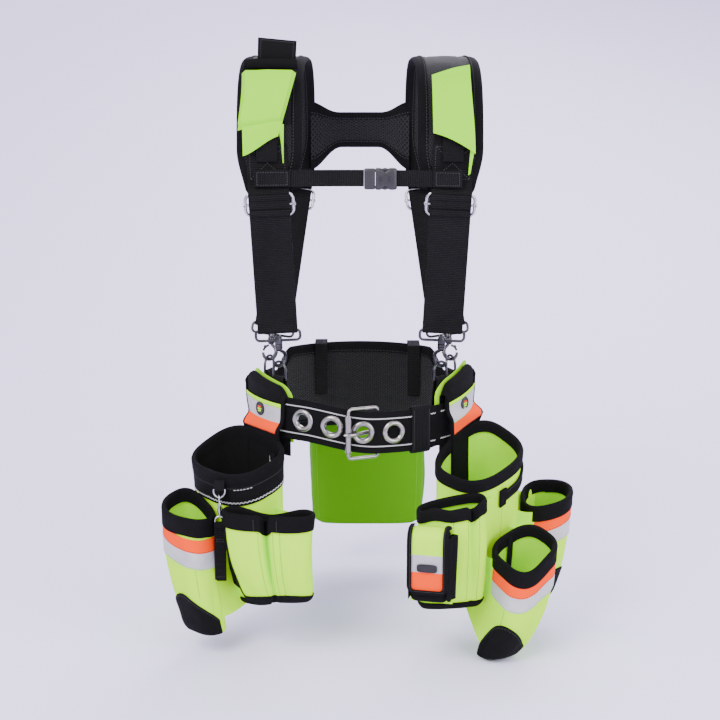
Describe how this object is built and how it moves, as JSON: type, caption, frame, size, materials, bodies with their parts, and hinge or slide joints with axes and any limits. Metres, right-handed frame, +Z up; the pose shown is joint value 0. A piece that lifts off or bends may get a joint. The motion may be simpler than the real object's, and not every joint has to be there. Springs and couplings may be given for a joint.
{
  "type": "tool belt",
  "caption": "Carpenter's tool belt with padded shoulder suspenders, buckled webbing belt, lumbar pad, high-visibility pouches on both sides and a flat rear pouch.",
  "frame": {"origin": "centre of the belt ring, at the middle of the belt webbing's height", "axes": "+Z up along the wearer's spine, -Y out of the wearer's front, +X to the wearer's left"},
  "size_m": [0.485, 0.4259, 0.7055],
  "materials": {
    "black_webbing": "woven polyester webbing and tape",
    "black_pad": "padded mesh cloth",
    "lime_fabric": "high-visibility coated polyester cloth",
    "steel": "nickel-plated steel wire and stampings",
    "black_steel": "gunmetal-plated die casting",
    "black_plastic": "moulded acetal"
  },
  "bodies": {
    "harness": {"front_left_strap": "black_webbing", "front_left_ring": "steel", "back_left_strap": "black_webbing", "back_left_ring": "steel", "left_shoulder_pad": "black_pad", "front_right_strap": "black_webbing", "front_right_ring": "steel", "back_right_strap": "black_webbing", "back_right_ring": "steel", "right_shoulder_pad": "black_pad", "lumbar_pad": "black_pad", "belt_webbing_left": "black_webbing", "eyelet_1": "steel", "eyelet_2": "steel", "eyelet_3": "steel", "eyelet_4": "steel", "belt_webbing_right": "black_webbing", "yoke_crosspiece": "black_pad", "phone_pocket": "lime_fabric", "pad_sleeve": "lime_fabric", "chest_strap_left": "black_webbing", "chest_strap_right": "black_webbing", "chest_buckle_socket": "black_plastic", "rear_pouch": "lime_fabric"},
    "front_left_hook": {"front_left_snap_hook": "black_steel"},
    "front_left_gate": {"front_left_hook_gate": "black_steel"},
    "front_left_d": {"front_left_d_ring": "steel"},
    "front_left_adjuster": {"front_left_slider": "steel"},
    "back_left_hook": {"back_left_snap_hook": "black_steel"},
    "back_left_gate": {"back_left_hook_gate": "black_steel"},
    "back_left_d": {"back_left_d_ring": "steel"},
    "back_left_adjuster": {"back_left_slider": "steel"},
    "front_right_hook": {"front_right_snap_hook": "black_steel"},
    "front_right_gate": {"front_right_hook_gate": "black_steel"},
    "front_right_d": {"front_right_d_ring": "steel"},
    "front_right_adjuster": {"front_right_slider": "steel"},
    "back_right_hook": {"back_right_snap_hook": "black_steel"},
    "back_right_gate": {"back_right_hook_gate": "black_steel"},
    "back_right_d": {"back_right_d_ring": "steel"},
    "back_right_adjuster": {"back_right_slider": "steel"},
    "buckle": {"buckle_frame": "steel"},
    "prong": {"buckle_prong": "steel"},
    "roller": {"buckle_roller": "steel"},
    "keeper": {"belt_keeper": "black_webbing"},
    "chest_plug": {"chest_buckle_plug": "black_plastic"},
    "pocket_tab": {"phone_pocket_tab": "black_webbing"},
    "left_pouches": {"left_belt_loop": "black_webbing", "left_main_pouch": "lime_fabric", "left_front_pocket": "lime_fabric", "left_nail_pouch": "lime_fabric"},
    "right_pouches": {"right_belt_loop": "black_webbing", "right_main_pouch": "lime_fabric", "right_front_pocket": "lime_fabric", "right_nail_pouch_front": "lime_fabric", "right_nail_pouch_rear": "lime_fabric", "mobile_pouch": "lime_fabric"},
    "lid": {"mobile_flap": "lime_fabric"},
    "key_d": {"key_d_ring": "steel"},
    "key_hook": {"key_snap_hook": "steel"},
    "key_lanyard": {"key_strap": "black_webbing"}
  },
  "joints": [
    {"name": "front_left_hook_swivel", "type": "hinge", "parent": "harness", "child": "front_left_hook", "pos_m": [-0.09653, -0.0876, 0.09971], "axis": [-0.0448, -0.1644, 0.9854], "range_deg": [-15, 15]},
    {"name": "front_left_gate_hinge", "type": "hinge", "parent": "front_left_hook", "child": "front_left_gate", "pos_m": [-0.09797, -0.08703, 0.08508], "axis": [0.6623, -0.7433, -0.0939], "range_deg": [0, 22], "stiffness_Nm_per_rad": 0.02},
    {"name": "front_left_d_hinge", "type": "hinge", "parent": "harness", "child": "front_left_d", "pos_m": [-0.09533, -0.08316, 0.0521], "axis": [0.6574, -0.7536, 0], "range_deg": [-4, 4]},
    {"name": "front_left_adjuster_slide", "type": "slide", "parent": "harness", "child": "front_left_adjuster", "axis": [-0.0448, -0.1644, 0.9854], "range_m": [-0.05, 0]},
    {"name": "back_left_hook_swivel", "type": "hinge", "parent": "harness", "child": "back_left_hook", "pos_m": [-0.11157, 0.06033, 0.07793], "axis": [0.1377, 0.3064, 0.9419], "range_deg": [-15, 15]},
    {"name": "back_left_gate_hinge", "type": "hinge", "parent": "back_left_hook", "child": "back_left_gate", "pos_m": [-0.11612, 0.05699, 0.06435], "axis": [-0.3668, -0.8676, 0.3358], "range_deg": [0, 22], "stiffness_Nm_per_rad": 0.02},
    {"name": "back_left_d_hinge", "type": "hinge", "parent": "harness", "child": "back_left_d", "pos_m": [-0.11529, 0.05206, 0.0315], "axis": [-0.4115, -0.9114, 0], "range_deg": [-4, 4]},
    {"name": "back_left_adjuster_slide", "type": "slide", "parent": "harness", "child": "back_left_adjuster", "axis": [0.1377, 0.3064, 0.9419], "range_m": [-0.05, 0]},
    {"name": "front_right_hook_swivel", "type": "hinge", "parent": "harness", "child": "front_right_hook", "pos_m": [0.09653, -0.0876, 0.09971], "axis": [0.0448, -0.1644, 0.9854], "range_deg": [-15, 15]},
    {"name": "front_right_gate_hinge", "type": "hinge", "parent": "front_right_hook", "child": "front_right_gate", "pos_m": [0.09797, -0.08703, 0.08508], "axis": [0.6623, 0.7433, 0.0939], "range_deg": [0, 22], "stiffness_Nm_per_rad": 0.02},
    {"name": "front_right_d_hinge", "type": "hinge", "parent": "harness", "child": "front_right_d", "pos_m": [0.09533, -0.08316, 0.0521], "axis": [0.6574, 0.7536, 0], "range_deg": [-4, 4]},
    {"name": "front_right_adjuster_slide", "type": "slide", "parent": "harness", "child": "front_right_adjuster", "axis": [0.0448, -0.1644, 0.9854], "range_m": [-0.05, 0]},
    {"name": "back_right_hook_swivel", "type": "hinge", "parent": "harness", "child": "back_right_hook", "pos_m": [0.11157, 0.06033, 0.07793], "axis": [-0.1377, 0.3064, 0.9419], "range_deg": [-15, 15]},
    {"name": "back_right_gate_hinge", "type": "hinge", "parent": "back_right_hook", "child": "back_right_gate", "pos_m": [0.11612, 0.05699, 0.06435], "axis": [-0.3668, 0.8676, -0.3358], "range_deg": [0, 22], "stiffness_Nm_per_rad": 0.02},
    {"name": "back_right_d_hinge", "type": "hinge", "parent": "harness", "child": "back_right_d", "pos_m": [0.11529, 0.05206, 0.0315], "axis": [-0.4115, 0.9114, 0], "range_deg": [-4, 4]},
    {"name": "back_right_adjuster_slide", "type": "slide", "parent": "harness", "child": "back_right_adjuster", "axis": [-0.1377, 0.3064, 0.9419], "range_m": [-0.05, 0]},
    {"name": "buckle_hinge", "type": "hinge", "parent": "harness", "child": "buckle", "pos_m": [0.02099, -0.13255, 0], "axis": [0, 0, 1], "range_deg": [0, 3]},
    {"name": "prong_hinge", "type": "hinge", "parent": "buckle", "child": "prong", "pos_m": [0.02099, -0.13255, 0], "axis": [0, 0, 1], "range_deg": [0, 2]},
    {"name": "roller_spin", "type": "hinge", "parent": "buckle", "child": "roller", "pos_m": [-0.0135, -0.1465, 0], "axis": [0, 0, 1], "continuous": true},
    {"name": "keeper_slide", "type": "hinge", "parent": "harness", "child": "keeper", "pos_m": [0, 0, 0], "axis": [0, 0, 1], "range_deg": [-2.5, 3]},
    {"name": "chest_buckle_release", "type": "slide", "parent": "harness", "child": "chest_plug", "axis": [-1, 0, 0], "range_m": [0, 0.024], "deforming": ["chest_strap_left"]},
    {"name": "pocket_tab_fold", "type": "hinge", "parent": "harness", "child": "pocket_tab", "pos_m": [-0.0975, -0.059, 0.421], "axis": [1, 0, 0], "range_deg": [0, 60]},
    {"name": "left_pouches_slide", "type": "hinge", "parent": "harness", "child": "left_pouches", "pos_m": [0, 0, 0], "axis": [0, 0, 1], "range_deg": [-4, 3]},
    {"name": "right_pouches_slide", "type": "hinge", "parent": "harness", "child": "right_pouches", "pos_m": [0, 0, 0], "axis": [0, 0, 1], "range_deg": [-2, 4]},
    {"name": "mobile_flap_hinge", "type": "hinge", "parent": "right_pouches", "child": "lid", "pos_m": [0.08102, -0.22144, -0.0885], "axis": [-0.9703, 0.2419, 0], "range_deg": [0, 80]},
    {"name": "key_d_swing", "type": "hinge", "parent": "left_pouches", "child": "key_d", "pos_m": [-0.162, -0.1762, -0.058], "axis": [-1, 0, 0], "range_deg": [0, 25]},
    {"name": "key_hook_swing", "type": "hinge", "parent": "key_d", "child": "key_hook", "pos_m": [-0.162, -0.1762, -0.0671], "axis": [-1, 0, 0], "range_deg": [0, 20]},
    {"name": "key_lanyard_swing", "type": "hinge", "parent": "key_hook", "child": "key_lanyard", "pos_m": [-0.162, -0.1762, -0.1009], "axis": [-1, 0, 0], "range_deg": [0, 25]}
  ]
}
